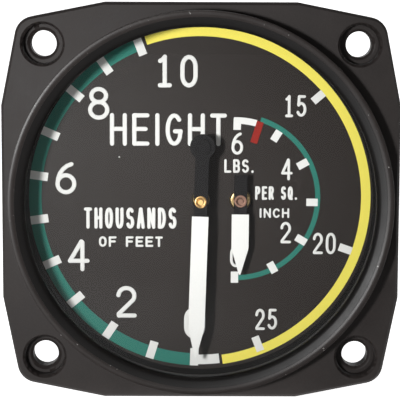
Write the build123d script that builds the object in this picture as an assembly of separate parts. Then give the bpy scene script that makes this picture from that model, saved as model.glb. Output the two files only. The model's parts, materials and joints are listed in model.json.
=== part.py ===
from build123d import *
import math
import os

# A cabin pressure indicator for a round 2 1/4 inch panel cut-out, in millimetres.
# X is to the right and Z is up on the dial. Y goes through the panel: the dial faces -Y.
# The origin is the middle of the flange's rear face, where it meets the panel.
# A level is a Y value. A place is an (X, Z) pair, seen from the front.

# Panel standard: the cut-out, and how far the bolt circle lies outside it
panel_cutout = 57.15
bolt_circle_offset = 4.7625
can_clearance = 0.275

# Case: a moulded flange, front rim and can in one piece
can_wall = 2.1
can_length = 49.5
back_wall = 2.5
can_edge = 1.0
flange_thickness = 5.0
flange_overhang = 1.225
flange_slope = 11.25
flange_edge = 0.4
corner_margin = 3.68
corner_round = 3.0
rim_height = 3.35
rim_lip = 0.72
rim_edge = 0.35
mounting_hole_radius = 1.95
recess_mouth_radius = 3.35
recess_chamfer = 0.35
recess_floor_radius = 2.9
recess_depth = 2.0
hole_mouth_radius = 2.45

# Window: glass on a gasket, held by a bevelled ring inside the rim's lip
glass_seat_width = 1.55
glass_thickness = 1.5
glass_edge_gap = 0.15
gasket_thickness = 0.4
ring_height = 1.3
ring_setback = 0.15
ring_land = 0.3
ring_inner_wall = 0.25
ring_edge_gap = 0.05

# Dial
dial_depth = 5.42
dial_thickness = 0.8
dial_edge_gap = 0.1
dial_gap = 1.4
foot_radius = 1.5
foot_pin_radius = 0.7
foot_circle_radius = 18.0
foot_angles = (40, 160, 275)
nut_radius = 1.7
nut_height = 1.0

# Movement frame: two plates on four pillars, hung from the back wall
plate_thickness = 1.8
plate_edge_gap = 0.7
pillar_radius = 1.6
pillar_circle_radius = 22.3
pillar_angles = (0, 90, 180, 270)
bridge_width = 9.0
bridge_thickness = 1.6
bridge_feet = ((-8.0, 8.0), (14.0, -8.0))
standoff_length = 5.2

# Screws: one thread size through the instrument
thread_radius = 0.9
head_radius = 1.6
head_height = 0.8
slot_width = 0.4
slot_depth = 0.4
case_thread_radius = 1.1
case_head_radius = 2.1
case_head_height = 1.4
screw_reach = 3.0

# Named clearances, all radial or axial gaps
thread_gap = 0.05
hole_gap = 0.15
press_gap = 0.01
running_gap = 0.03
end_shake = 0.1
open_pivot_gap = 0.3

# Gearing: toothed sectors that turn a small pinion on each pointer's staff
tooth_module = 0.3
pressure_angle = math.radians(20)
backlash = 0.07
addendum = 0.24
dedendum = 0.37
sector_thickness = 1.0
sector_rim = 1.8
sector_hub_radius = 2.2
sector_hub_height = 1.8
pinion_overlap = 0.4
plate_to_first_sector = 1.6
sector_pitch_depth = 3.2
staff_to_bridge = 2.8

# Staffs and shafts
staff_radius = 0.55
staff_tip_radius = 0.375
staff_pivot_radius = 0.25
staff_shoulder_radius = 0.9
staff_tip_rise = 0.35
bush_radius = 1.025
bush_rise = 0.3
collar_edge = 0.1
jewel_radius = 1.0
shaft_radius = 1.0
shaft_pivot_radius = 0.4
shaft_pivot_length = 1.2
shaft_bush_radius = 1.5

# Arms, links and the pins they turn on
arm_width = 2.2
arm_thickness = 1.0
arm_hub_radius = 2.0
link_width = 1.8
link_thickness = 0.7
link_gap = 0.2
pin_radius = 0.4
pin_head_radius = 0.7
pin_head_height = 0.3

# Hairsprings
spring_inner_radius = 1.25
spring_outer_radius = 4.45
spring_turns = 4
spring_steps = 14
spring_ribbon = 0.15
spring_height = 0.6
collet_radius = 1.1
collet_height = 1.0
collet_gap = 0.3
spring_stud_radius = 0.65
spring_stud_gap = 0.05

# Capsules: thin corrugated shells on a bracket, with a stud on the free end
capsule_radius = 10.0
capsule_hub_radius = 1.6
capsule_cell = 3.6
capsule_seam = 0.3
capsule_waves = 2
capsule_wave_height = 0.35
capsule_neck = 0.3
bracket_thickness = 1.2
bracket_width = 9.0
bracket_foot = 7.5
bracket_shoulder = 0.6
base_shoulder_radius = 2.2
base_thread_radius = 1.25
base_nut_radius = 2.6
base_nut_height = 1.6
base_end = 0.8
stud_radius = 0.9
stud_collar_radius = 1.5
stud_collar = 0.8

# Static pressure line and the ports on the back
port_boss_radius = 6.6
port_boss_height = 8.0
port_radius = 4.37
port_depth = 9.0
tube_radius = 0.9
tube_bore = 0.55
tube_bend = 2.0
tube_offset = 3.0
nipple_radius = 1.7
nipple_height = 1.8
vent_place = (13.0, -12.0)
vent_radius = 4.0
vent_depth = 1.2
vent_hole_radius = 0.8
vent_hole_circle = 2.0

# Pointers
pointer_thickness = 0.4
pointer_bush_radius = 0.925
pointer_bush_flange = 1.02
pointer_bush_drop = 0.55
pointer_bush_rise = 0.2
pointer_bush_sink = 0.62
pointer_bush_sink_depth = 0.25
weight_radius = 1.9
weight_offset = 8.3
weight_drop = 0.45
weight_crown_radius = 1.2
weight_crown_rise = 0.35

# Radii and levels that follow from the sizes above
can_radius = panel_cutout / 2 - can_clearance
bore_radius = can_radius - can_wall
seat_radius = bore_radius + glass_seat_width
rim_radius = seat_radius + rim_lip
half_width = panel_cutout / 2 + flange_overhang
hole_place = (panel_cutout / 2 + bolt_circle_offset) / math.sqrt(2)
corner_place = hole_place + corner_margin
plate_radius = bore_radius - plate_edge_gap

flange_front = -flange_thickness
rim_front = flange_front - rim_height
ring_front = rim_front + ring_setback
glass_front = ring_front + ring_height
glass_back = glass_front + glass_thickness
seat_level = glass_back + gasket_thickness
dial_front = flange_front + dial_depth
dial_back = dial_front + dial_thickness
plate_front = dial_back + dial_gap
plate_back = plate_front + plate_thickness
first_sector = plate_back + plate_to_first_sector
second_sector = first_sector + sector_pitch_depth
bridge_front = second_sector + sector_thickness + staff_to_bridge
bridge_back = bridge_front + bridge_thickness
inner_back = can_length - back_wall
rear_plate_back = inner_back - standoff_length
rear_plate_front = rear_plate_back - plate_thickness
capsule_level = (bridge_back + rear_plate_front) / 2 + 0.8
arm_front = capsule_level - arm_thickness / 2
link_back = arm_front - link_gap
link_front = link_back - link_thickness
pin_front = link_front - link_gap - pin_head_height


# Where a train's sector shaft stands: a gear's centre distance from the pinion
def beside(place, angle, teeth):
    distance = tooth_module * teeth / 2
    x = place[0] + distance * math.cos(math.radians(angle))
    z = place[1] + distance * math.sin(math.radians(angle))
    return (x, z)


# The two trains. Angles are degrees anticlockwise from +X, seen from the front.
# The sweep is the sector's travel, positive anticlockwise, and rest is at the dial's zero.
altitude = {
    "name": "altitude",
    "staff": (0.0, 0.0),
    "shaft": beside((0.0, 0.0), -126.1, 132),
    "sector_teeth": 120,
    "pinion_teeth": 12,
    "sweep": 33.65,
    "sector_front": first_sector,
    "collar_radius": 1.2,
    "pointer_height": 4.1,
    "pointer_angle": -91.8,
    "arm_length": 4.5,
    "arm_side": 1,
    "capsule_side": 1,
    "capsule_cells": 2,
    "capsule_end": 12.6,
    "spring_stud_angle": 133,
}
differential = {
    "name": "differential",
    "staff": (6.0, 0.0),
    "shaft": beside((6.0, 0.0), 67.2, 112),
    "sector_teeth": 96,
    "pinion_teeth": 16,
    "sweep": -30.67,
    "sector_front": second_sector,
    "collar_radius": 1.5,
    "pointer_height": 2.4,
    "pointer_angle": -90.4,
    "arm_length": 4.0,
    "arm_side": -1,
    "capsule_side": -1,
    "capsule_cells": 1,
    "capsule_end": 10.6,
    "spring_stud_angle": -36,
}


# A plane that faces the viewer at a level
def facing(level):
    return Plane(origin=(0, level, 0), x_dir=(1, 0, 0), z_dir=(0, -1, 0))


# An outline drawn as seen from the front, given depth between two levels
def slab(outline, front, back):
    return extrude(facing(back) * outline, amount=back - front)


# A round bar along Y
def disc(radius, front, back, place=(0, 0)):
    return slab(Pos(*place) * Circle(radius), front, back)


# A round sleeve along Y
def sleeve(outer, inner, front, back, place=(0, 0)):
    return slab(Pos(*place) * (Circle(outer) - Circle(inner)), front, back)


# A turned shape about a line along Y, from its (radius, level) profile
def turned(profile, place=(0, 0)):
    section = make_face(Polyline(*profile, close=True))
    return Pos(place[0], 0, place[1]) * revolve(section, Axis.Y)


# A bar outline with round ends between two places
def bar(start, end, width):
    length = math.hypot(end[0] - start[0], end[1] - start[1])
    angle = math.degrees(math.atan2(end[1] - start[1], end[0] - start[0]))
    middle = Pos((start[0] + end[0]) / 2, (start[1] + end[1]) / 2)
    return middle * Rot(0, 0, angle) * SlotCenterToCenter(length, width)


# The place at an angle and radius from another place
def around(place, radius, angle):
    x = place[0] + radius * math.cos(math.radians(angle))
    z = place[1] + radius * math.sin(math.radians(angle))
    return (x, z)


def ring_of_places(radius, angles):
    return [around((0, 0), radius, angle) for angle in angles]


# A cheese-head screw along Y. The head's outer face is at head_face, and toward is the way
# that the thread points: 1 for +Y, -1 for -Y.
def screw(place, head_face, toward, length, thread, head, height):
    under = head_face + toward * height
    tip = under + toward * length
    profile = [
        (0, head_face),
        (head, head_face),
        (head, under),
        (thread, under),
        (thread, tip),
        (0, tip),
    ]
    body = turned(profile, place)
    slot_bottom = head_face + toward * slot_depth
    front = min(slot_bottom, head_face - toward)
    back = max(slot_bottom, head_face - toward)
    slot = Pos(*place) * Rot(0, 0, 35) * Rectangle(3 * head, slot_width)
    return body - slab(slot, front, back)


def small_screw(place, head_face, toward, length):
    return screw(place, head_face, toward, length, thread_radius, head_radius, head_height)


mounting_places = [(x, z) for x in (-hole_place, hole_place) for z in (-hole_place, hole_place)]
pillar_places = ring_of_places(pillar_circle_radius, pillar_angles)
foot_places = ring_of_places(foot_circle_radius, foot_angles)


# The flange: a square whose sides lean in towards its four rounded corners
def flange_outline():
    lean = (half_width - corner_place) / math.tan(math.radians(flange_slope))
    flat = corner_place - lean
    quarter = [(flat, half_width), (corner_place, corner_place), (half_width, flat)]
    points = []
    for turn in range(4):
        angle = -math.radians(90 * turn)
        for x, z in quarter:
            across = x * math.cos(angle) - z * math.sin(angle)
            up = x * math.sin(angle) + z * math.cos(angle)
            points.append((across, up))
    outline = make_face(Polyline(*points, close=True))
    corners = [corner for corner in outline.vertices() if abs(abs(corner.X) - abs(corner.Y)) < 0.01]
    return fillet(corners, corner_round)


def flange():
    plate = slab(flange_outline(), flange_front, 0)
    front_edges = plate.faces().sort_by(Axis.Y)[0].edges()
    return chamfer(front_edges, flange_edge)


def mounting_hole(place):
    recess_floor = flange_front + recess_depth
    profile = [
        (0, flange_front - 1),
        (recess_mouth_radius, flange_front - 1),
        (recess_mouth_radius, flange_front),
        (recess_mouth_radius - recess_chamfer, flange_front + recess_chamfer),
        (recess_floor_radius, recess_floor),
        (hole_mouth_radius, recess_floor),
        (mounting_hole_radius, recess_floor + hole_mouth_radius - mounting_hole_radius),
        (mounting_hole_radius, 1),
        (0, 1),
    ]
    return turned(profile, place)


def capsule_axis(train):
    return train["shaft"][1] + train["arm_side"] * train["arm_length"]


# The capsule's fixed end and free end along X
def capsule_base_x(train):
    return train["capsule_side"] * train["capsule_end"]


def capsule_free_x(train):
    cells = train["capsule_cells"]
    length = cells * capsule_cell + (cells + 1) * capsule_neck
    return train["capsule_side"] * (train["capsule_end"] - length)


# The outer face of the bracket, and the outer end of the base's threaded shank
def bracket_outer_x(train):
    return train["capsule_side"] * (train["capsule_end"] + bracket_shoulder + bracket_thickness)


def base_end_x(train):
    return bracket_outer_x(train) + train["capsule_side"] * (base_nut_height + base_end)


port_place = (base_end_x(differential) - tube_offset, capsule_axis(differential))


def case():
    profile = [
        (0, can_length),
        (can_radius - can_edge, can_length),
        (can_radius, can_length - can_edge),
        (can_radius, flange_front + 1),
        (rim_radius, flange_front + 1),
        (rim_radius, rim_front + rim_edge),
        (rim_radius - rim_edge, rim_front),
        (0, rim_front),
    ]
    hollow = [
        (0, inner_back),
        (bore_radius, inner_back),
        (bore_radius, seat_level),
        (seat_radius, seat_level),
        (seat_radius, rim_front - 1),
        (0, rim_front - 1),
    ]
    body = flange() + turned(profile)
    body += disc(port_boss_radius, can_length - 1, can_length + port_boss_height, port_place)
    body -= turned(hollow)
    for place in mounting_places:
        body -= mounting_hole(place)
    for place in pillar_places:
        body -= disc(case_thread_radius + hole_gap, inner_back - 1, can_length + 1, place)
    port_mouth = can_length + port_boss_height
    body -= disc(port_radius, port_mouth - port_depth, port_mouth + 1, port_place)
    body -= disc(tube_bore, inner_back - 1, port_mouth, port_place)
    body -= disc(vent_radius, can_length - vent_depth, can_length + 1, vent_place)
    for angle in (45, 135, 225, 315):
        hole = around(vent_place, vent_hole_circle, angle)
        body -= disc(vent_hole_radius, inner_back - 1, can_length, hole)
    return body


def vent_filter():
    return disc(vent_radius - hole_gap, can_length - vent_depth, can_length - 0.2, vent_place)


# The bevelled ring: a flat land beside the lip, a slope, then a short wall round the glass
def retaining_ring():
    outer = seat_radius - ring_edge_gap
    profile = [
        (outer, glass_front),
        (outer, ring_front),
        (outer - ring_land, ring_front),
        (bore_radius, glass_front - ring_inner_wall),
        (bore_radius, glass_front),
    ]
    return turned(profile)


def cover_glass():
    radius = seat_radius - glass_edge_gap
    glass = disc(radius, glass_front, glass_back)
    return chamfer(glass.edges().filter_by(GeomType.CIRCLE), 0.15)


def glass_gasket():
    return sleeve(seat_radius - glass_edge_gap, bore_radius + 0.1, glass_back, seat_level)


def dial():
    plate = disc(bore_radius - dial_edge_gap, dial_front, dial_back)
    for train in (altitude, differential):
        plate -= disc(train["collar_radius"] + hole_gap, dial_front - 1, dial_back + 1, train["staff"])
    return plate


# Feet soldered to the dial's back, with pins through the front plate and a nut on each
def dial_feet():
    feet = []
    for place in foot_places:
        foot = disc(foot_radius, dial_back, plate_front, place)
        foot += disc(foot_pin_radius, plate_front, plate_back + nut_height, place)
        feet.append(foot)
    return Compound(feet)


def dial_nuts():
    nuts = []
    for place in foot_places:
        outline = RegularPolygon(nut_radius, 6) - Circle(foot_pin_radius + press_gap)
        nuts.append(slab(Pos(*place) * outline, plate_back, plate_back + nut_height))
    return Compound(nuts)


def plate_blank(front, back):
    plate = disc(plate_radius, front, back)
    for place in pillar_places:
        plate -= disc(thread_radius + hole_gap, front - 1, back + 1, place)
    for train in (altitude, differential):
        plate -= disc(shaft_bush_radius + press_gap, front - 1, back + 1, train["shaft"])
    return plate


def front_plate():
    plate = plate_blank(plate_front, plate_back)
    for place in foot_places:
        plate -= disc(foot_pin_radius + hole_gap, plate_front - 1, plate_back + 1, place)
    for train in (altitude, differential):
        plate -= disc(bush_radius + press_gap, plate_front - 1, plate_back + 1, train["staff"])
    for place in bridge_feet:
        plate -= disc(thread_radius + press_gap, plate_front - 1, plate_back + 1, place)
    return plate


def bracket_screw_places(train):
    side = train["capsule_side"]
    inner = bracket_outer_x(train) - side * bracket_thickness
    x = inner - side * bracket_foot * 0.55
    z = capsule_axis(train)
    return [(x, z - bracket_width / 4), (x, z + bracket_width / 4)]


def rear_plate():
    plate = plate_blank(rear_plate_front, rear_plate_back)
    for train in (altitude, differential):
        for place in bracket_screw_places(train):
            plate -= disc(thread_radius + hole_gap, rear_plate_front - 1, rear_plate_back + 1, place)
    plate -= disc(tube_radius + 0.6, rear_plate_front - 1, rear_plate_back + 1, port_place)
    return plate


# Long pillars between the plates, drilled and tapped at both ends
def plate_pillars():
    pillars = []
    for place in pillar_places:
        pillar = disc(pillar_radius, plate_back, rear_plate_front, place)
        pillar -= disc(thread_radius + thread_gap, plate_back - 1, plate_back + screw_reach, place)
        thread_bottom = rear_plate_front - screw_reach
        pillar -= disc(thread_radius + thread_gap, thread_bottom, rear_plate_front + 1, place)
        pillars.append(pillar)
    return Compound(pillars)


def pillar_screws():
    head_face = plate_front - head_height
    length = plate_thickness + screw_reach * 0.8
    return Compound([small_screw(place, head_face, 1, length) for place in pillar_places])


# Rear standoffs: a stub into the long pillar, and a tapped end against the back wall
def rear_standoffs():
    standoffs = []
    for place in pillar_places:
        post = disc(pillar_radius + 0.4, rear_plate_back, inner_back, place)
        post += disc(thread_radius, rear_plate_front - screw_reach * 0.8, rear_plate_back, place)
        post -= disc(case_thread_radius + thread_gap, inner_back - screw_reach, inner_back + 1, place)
        standoffs.append(post)
    return Compound(standoffs)


def case_screws():
    head_face = can_length + case_head_height
    length = back_wall + screw_reach * 0.8
    sizes = (case_thread_radius, case_head_radius, case_head_height)
    return Compound([screw(place, head_face, -1, length, *sizes) for place in pillar_places])


# The bridge that carries the rear ends of both pointer staffs
def pinion_bridge():
    bridge = slab(bar(*bridge_feet, bridge_width), bridge_front, bridge_back)
    for train in (altitude, differential):
        bridge -= disc(jewel_radius + press_gap, bridge_front - 1, bridge_back + 1, train["staff"])
    for place in bridge_feet:
        bridge -= disc(thread_radius + hole_gap, bridge_front - 1, bridge_back + 1, place)
    return bridge


def bridge_pillars():
    pillars = []
    for place in bridge_feet:
        pillar = disc(pillar_radius, plate_back, bridge_front, place)
        pillar += disc(thread_radius, plate_front, plate_back, place)
        pillar -= disc(thread_radius + thread_gap, bridge_front - screw_reach, bridge_front + 1, place)
        pillars.append(pillar)
    return Compound(pillars)


def bridge_screws():
    head_face = bridge_back + head_height
    length = bridge_thickness + screw_reach * 0.8
    return Compound([small_screw(place, head_face, -1, length) for place in bridge_feet])


# Brass bushes in both plates for the pivots of the two sector shafts
def shaft_bushes():
    bushes = []
    for train in (altitude, differential):
        for front, back in ((plate_front, plate_back), (rear_plate_front, rear_plate_back)):
            bore = shaft_pivot_radius + running_gap
            bushes.append(sleeve(shaft_bush_radius, bore, front, back, train["shaft"]))
    return Compound(bushes)


def staff_jewels():
    bore = staff_pivot_radius + running_gap
    jewels = []
    for train in (altitude, differential):
        jewels.append(sleeve(jewel_radius, bore, bridge_front, bridge_back, train["staff"]))
    return Compound(jewels)


# The pinion's front face, and the shoulder that the front bush stops
def pinion_front(train):
    return train["sector_front"] - pinion_overlap


def shoulder_front(train):
    return first_sector - pinion_overlap


# A long bush in the front plate, with a collar that shows in the dial's hole
def front_bush(train):
    front = dial_front - bush_rise
    back = shoulder_front(train) - end_shake
    bore = staff_radius + running_gap
    collar = train["collar_radius"]
    profile = [
        (bore, front),
        (collar - collar_edge, front),
        (collar, front + collar_edge),
        (collar, dial_back),
        (bush_radius, dial_back),
        (bush_radius, back),
        (bore, back),
    ]
    return turned(profile, train["staff"])


def involute(angle):
    return math.tan(angle) - angle


# Half the angle that a tooth takes up at a radius, in radians
def half_tooth(radius, teeth):
    pitch_radius = teeth * tooth_module / 2
    base_radius = pitch_radius * math.cos(pressure_angle)
    flank = math.acos(base_radius / max(radius, base_radius))
    half_at_pitch = math.pi / (2 * teeth) - backlash / (4 * pitch_radius)
    return half_at_pitch + involute(pressure_angle) - involute(flank)


# The points of a run of teeth. Tooth n is centred n + offset pitches past the angle.
def tooth_points(teeth, angle, first, last, offset):
    pitch_radius = teeth * tooth_module / 2
    rises = (-dedendum, -addendum / 2, addendum / 3, addendum)
    radii = [pitch_radius + rise for rise in rises]
    points = []
    for tooth in range(first, last + 1):
        middle = math.radians(angle) + (tooth + offset) * 2 * math.pi / teeth
        sides = [(radius, -1) for radius in radii] + [(radius, 1) for radius in reversed(radii)]
        for radius, side in sides:
            turn = middle + side * half_tooth(radius, teeth)
            points.append((radius * math.cos(turn), radius * math.sin(turn)))
    return points


# The angle from a train's sector shaft to its staff
def centre_line(train):
    dx = train["staff"][0] - train["shaft"][0]
    dz = train["staff"][1] - train["shaft"][1]
    return math.degrees(math.atan2(dz, dx))


# A pointer's staff: pivots, shoulder and pinion turned from one bar
def staff(train):
    place = train["staff"]
    front = dial_front - train["pointer_height"] - staff_tip_rise
    seat = dial_front - train["pointer_height"] + pointer_thickness + pointer_bush_drop
    shoulder = shoulder_front(train)
    pivot = bridge_front - end_shake
    profile = [
        (0, front),
        (staff_tip_radius, front),
        (staff_tip_radius, seat),
        (staff_radius, seat),
        (staff_radius, shoulder),
        (staff_shoulder_radius, shoulder),
        (staff_shoulder_radius, train["sector_front"] + sector_thickness + pinion_overlap),
        (staff_radius, train["sector_front"] + sector_thickness + pinion_overlap),
        (staff_radius, pivot),
        (staff_pivot_radius, pivot),
        (staff_pivot_radius, bridge_back - 0.3),
        (0, bridge_back - 0.3),
    ]
    teeth = train["pinion_teeth"]
    points = tooth_points(teeth, centre_line(train) + 180, 0, teeth - 1, 0)
    leaves = Pos(*place) * make_face(Polyline(*points, close=True))
    back = train["sector_front"] + sector_thickness + pinion_overlap
    return turned(profile, place) + slab(leaves, pinion_front(train), back)


# A toothed sector on its hub, with a window that leaves a rim and two spokes
def sector(train):
    teeth = train["sector_teeth"]
    pitch = 360 / teeth
    travel = abs(train["sweep"]) / pitch
    line = centre_line(train)
    # The teeth that mesh as it turns lie on the side that it turns away from.
    first, last = (-math.ceil(travel) - 2, 1) if train["sweep"] > 0 else (-2, math.ceil(travel) + 1)
    points = tooth_points(teeth, line, first, last, 0.5)
    radius = teeth * tooth_module / 2
    middle = line + (first + last + 1) / 2 * pitch
    half = (last - first + 1) / 2 * pitch
    hub_edge = [around((0, 0), sector_hub_radius, angle) for angle in (middle + 90, middle - 90)]
    blank = make_face(Polyline(*points, *hub_edge, close=True)) + Circle(sector_hub_radius)
    rim_inside = radius - dedendum - sector_rim
    window = Rot(0, 0, middle) * window_outline(sector_hub_radius + 1.6, rim_inside, half * 0.62)
    outline = Pos(*train["shaft"]) * (blank - window - Circle(shaft_radius + press_gap))
    plate = slab(outline, train["sector_front"], train["sector_front"] + sector_thickness)
    hub_front = train["sector_front"] - (sector_hub_height - sector_thickness) / 2
    hub_back = hub_front + sector_hub_height
    hub = sleeve(sector_hub_radius, shaft_radius + press_gap, hub_front, hub_back, train["shaft"])
    return plate + hub


# A window between two radii, symmetrical about +X, with straight spokes left at its sides
def window_outline(inner, outer, half_angle):
    low = math.radians(-half_angle)
    high = math.radians(half_angle)
    outside = ThreePointArc(
        (outer * math.cos(low), outer * math.sin(low)),
        (outer, 0),
        (outer * math.cos(high), outer * math.sin(high)),
    )
    inside = ThreePointArc(
        (inner * math.cos(high), inner * math.sin(high)),
        (inner, 0),
        (inner * math.cos(low), inner * math.sin(low)),
    )
    sides = [Line(outside @ 1, inside @ 0), Line(inside @ 1, outside @ 0)]
    return make_face([outside, sides[0], inside, sides[1]])


# The steel shaft that a sector and its arm are pressed on
def sector_shaft(train):
    front = plate_back + end_shake
    back = rear_plate_front - end_shake
    profile = [
        (0, front - shaft_pivot_length),
        (shaft_pivot_radius, front - shaft_pivot_length),
        (shaft_pivot_radius, front),
        (shaft_radius, front),
        (shaft_radius, back),
        (shaft_pivot_radius, back),
        (shaft_pivot_radius, back + shaft_pivot_length),
        (0, back + shaft_pivot_length),
    ]
    return turned(profile, train["shaft"])


# Where the arm's pin is at rest: the arm swings evenly either side of square to the link
def arm_pin_place(train):
    angle = 90 * train["arm_side"] - train["sweep"] / 2
    return around(train["shaft"], train["arm_length"], angle)


def pin(place):
    shank = disc(pin_radius, pin_front, arm_front, place)
    return shank + disc(pin_head_radius, pin_front, pin_front + pin_head_height, place)


def arm(train):
    place = arm_pin_place(train)
    outline = bar(train["shaft"], place, arm_width) + Pos(*train["shaft"]) * Circle(arm_hub_radius)
    outline -= Pos(*train["shaft"]) * Circle(shaft_radius + press_gap)
    return slab(outline, arm_front, arm_front + arm_thickness) + pin(place)


# The stud's pin keeps the height that the arm's pin has at mid-travel
def stud_pin_place(train):
    x = capsule_free_x(train) - train["capsule_side"] * (stud_collar + 3.0)
    return (x, capsule_axis(train))


# The link. Its hole on the arm's pin runs close, and its slot on the stud's pin is open,
# because the arm's pin rises and falls a little as it swings.
def link(train):
    start = stud_pin_place(train)
    end = arm_pin_place(train)
    level_start = (start[0], end[1])
    outline = bar(level_start, end, link_width)
    outline -= Pos(*end) * Circle(pin_radius + running_gap)
    outline -= Pos(*start) * Circle(pin_radius + open_pivot_gap)
    return slab(outline, link_front, link_back)


# A round bar along X between two X values, at the capsule's level
def cross_bar(radius, start, end, height):
    low = min(start, end)
    plane = Plane(origin=(low, capsule_level, height), x_dir=(0, 1, 0), z_dir=(1, 0, 0))
    return extrude(plane * Circle(radius), amount=abs(end - start))


# The moving stud: a collar on the capsule's free end, and a tongue with the link's pin
def capsule_stud(train):
    side = train["capsule_side"]
    height = capsule_axis(train)
    free = capsule_free_x(train)
    pin_place = stud_pin_place(train)
    body = cross_bar(stud_collar_radius, free, free - side * stud_collar, height)
    body += cross_bar(stud_radius, free - side * stud_collar, pin_place[0] + side * 1.2, height)
    tongue = bar((pin_place[0] + side * 1.6, height), pin_place, 2 * stud_radius)
    body += slab(tongue, arm_front, arm_front + arm_thickness)
    return body + pin(pin_place)


# A corrugated cell's half section: (x, radius) points from the hub out to the seam
def cell_side(middle, side):
    points = []
    steps = 2 * capsule_waves + 1
    for step in range(steps + 1):
        share = step / steps
        radius = capsule_hub_radius + 1.2 + share * (capsule_radius - capsule_hub_radius - 1.6)
        slope = (capsule_cell / 2 - capsule_seam / 2) * (1 - share)
        wave = capsule_wave_height * (1 if step % 2 else -1) if 0 < step < steps else 0
        points.append((middle + side * (capsule_seam / 2 + max(slope + wave, 0.05)), radius))
    return points


# A stack of cells about X, joined hub to hub. The shell is sealed, so it is solid here.
def capsule(train):
    cells = train["capsule_cells"]
    start = min(capsule_base_x(train), capsule_free_x(train))
    end = max(capsule_base_x(train), capsule_free_x(train))
    points = [(start, 0), (start, capsule_hub_radius)]
    for cell in range(cells):
        middle = start + capsule_neck + capsule_cell / 2 + cell * (capsule_cell + capsule_neck)
        left = cell_side(middle, -1)
        right = cell_side(middle, 1)
        points.append((left[0][0], capsule_hub_radius))
        points += left
        points += [(middle - capsule_seam / 2, capsule_radius), (middle + capsule_seam / 2, capsule_radius)]
        points += reversed(right)
        points.append((right[0][0], capsule_hub_radius))
    points += [(end, capsule_hub_radius), (end, 0)]
    body = revolve(make_face(Polyline(*points, close=True)), Axis.X)
    return Pos(0, capsule_level, capsule_axis(train)) * body


# The fixed end: a shoulder against the bracket and a threaded shank through it
def capsule_base(train):
    side = train["capsule_side"]
    height = capsule_axis(train)
    inner = capsule_base_x(train)
    body = cross_bar(base_shoulder_radius, inner, inner + side * bracket_shoulder, height)
    body += cross_bar(base_thread_radius, inner + side * bracket_shoulder, base_end_x(train), height)
    if train is differential:
        body -= cross_bar(tube_radius + press_gap, base_end_x(train) + side, bracket_outer_x(train), height)
        body -= cross_bar(tube_bore, bracket_outer_x(train), inner - side, height)
    return body


def capsule_nut(train):
    side = train["capsule_side"]
    start = bracket_outer_x(train)
    plane = Plane(
        origin=(min(start, start + side * base_nut_height), capsule_level, capsule_axis(train)),
        x_dir=(0, 1, 0),
        z_dir=(1, 0, 0),
    )
    outline = RegularPolygon(base_nut_radius, 6) - Circle(base_thread_radius + press_gap)
    return extrude(plane * outline, amount=base_nut_height)


# An angle bracket: an upright leaf across X and a foot on the rear plate
def capsule_bracket(train):
    side = train["capsule_side"]
    height = capsule_axis(train)
    outer = bracket_outer_x(train)
    inner = outer - side * bracket_thickness
    leaf_middle = (outer + inner) / 2
    leaf_front = capsule_level - bracket_width / 2
    leaf_shape = Pos(leaf_middle, height) * Rectangle(bracket_thickness, bracket_width)
    leaf = slab(leaf_shape, leaf_front, rear_plate_front)
    foot_x = (outer + inner - side * bracket_foot) / 2
    foot_outline = Pos(foot_x, height) * Rectangle(bracket_foot + bracket_thickness, bracket_width)
    foot = slab(foot_outline, rear_plate_front - bracket_thickness, rear_plate_front)
    body = leaf + foot
    body -= cross_bar(base_thread_radius + hole_gap, outer + side, inner - side, height)
    for place in bracket_screw_places(train):
        body -= disc(thread_radius + thread_gap, rear_plate_front - 3, rear_plate_front + 1, place)
    return body


def bracket_screws():
    screws = []
    for train in (altitude, differential):
        for place in bracket_screw_places(train):
            length = plate_thickness + bracket_thickness * 0.9
            screws.append(small_screw(place, rear_plate_back + head_height, -1, length))
    return Compound(screws)


# The static line: from the differential capsule's base, round a bend, to the port behind
def static_tube():
    height = capsule_axis(differential)
    start = (bracket_outer_x(differential) - 0.3, capsule_level, height)
    corner = (port_place[0], capsule_level, height)
    end = (port_place[0], inner_back - 0.3, height)
    path = FilletPolyline(start, corner, end, radius=tube_bend)
    section = Plane(origin=start, z_dir=(-1, 0, 0)) * (Circle(tube_radius) - Circle(tube_bore))
    return sweep(section, path)


def static_nipple():
    bore = tube_radius + press_gap
    body = sleeve(nipple_radius, bore, inner_back - nipple_height, inner_back, port_place)
    return body


def hairspring_front(train):
    return train["sector_front"] + sector_thickness + pinion_overlap + collet_gap


def collet(train):
    front = hairspring_front(train)
    return sleeve(collet_radius, staff_radius + press_gap, front, front + collet_height, train["staff"])


# A flat spiral ribbon from the collet to its fixed stud
def hairspring(train):
    end_angle = math.radians(train["spring_stud_angle"])
    start_angle = end_angle - 2 * math.pi * spring_turns
    steps = spring_steps * spring_turns
    sides = []
    for offset in (-spring_ribbon / 2, spring_ribbon / 2):
        side = []
        for step in range(steps + 1):
            share = step / steps
            angle = start_angle + share * (end_angle - start_angle)
            radius = spring_inner_radius + share * (spring_outer_radius - spring_inner_radius) + offset
            side.append((radius * math.cos(angle), radius * math.sin(angle)))
        sides.append(side)
    ribbon = make_face(Polyline(*sides[0], *reversed(sides[1]), close=True))
    front = hairspring_front(train) + (collet_height - spring_height) / 2
    return slab(Pos(*train["staff"]) * ribbon, front, front + spring_height)


# The post that holds the spring's outer end: on the front plate, or on the bridge
def hairspring_stud(train):
    reach = spring_outer_radius + spring_ribbon / 2 + spring_stud_gap + spring_stud_radius
    place = around(train["staff"], reach, train["spring_stud_angle"])
    front = hairspring_front(train)
    if train is altitude:
        return disc(spring_stud_radius, plate_back, front + collet_height, place)
    return disc(spring_stud_radius, front, bridge_front, place)


# Points along a pointer, drawn pointing down from its pivot: (half width, distance down)
altitude_pointer_outline = ((1.05, -7.0), (1.05, 2.2), (1.25, 2.2), (1.25, 19.2), (0.12, 23.8))
differential_pointer_outline = ((1.0, -4.0), (1.0, 2.0), (1.3, 2.0), (1.3, 7.2), (0.12, 11.2))


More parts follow.
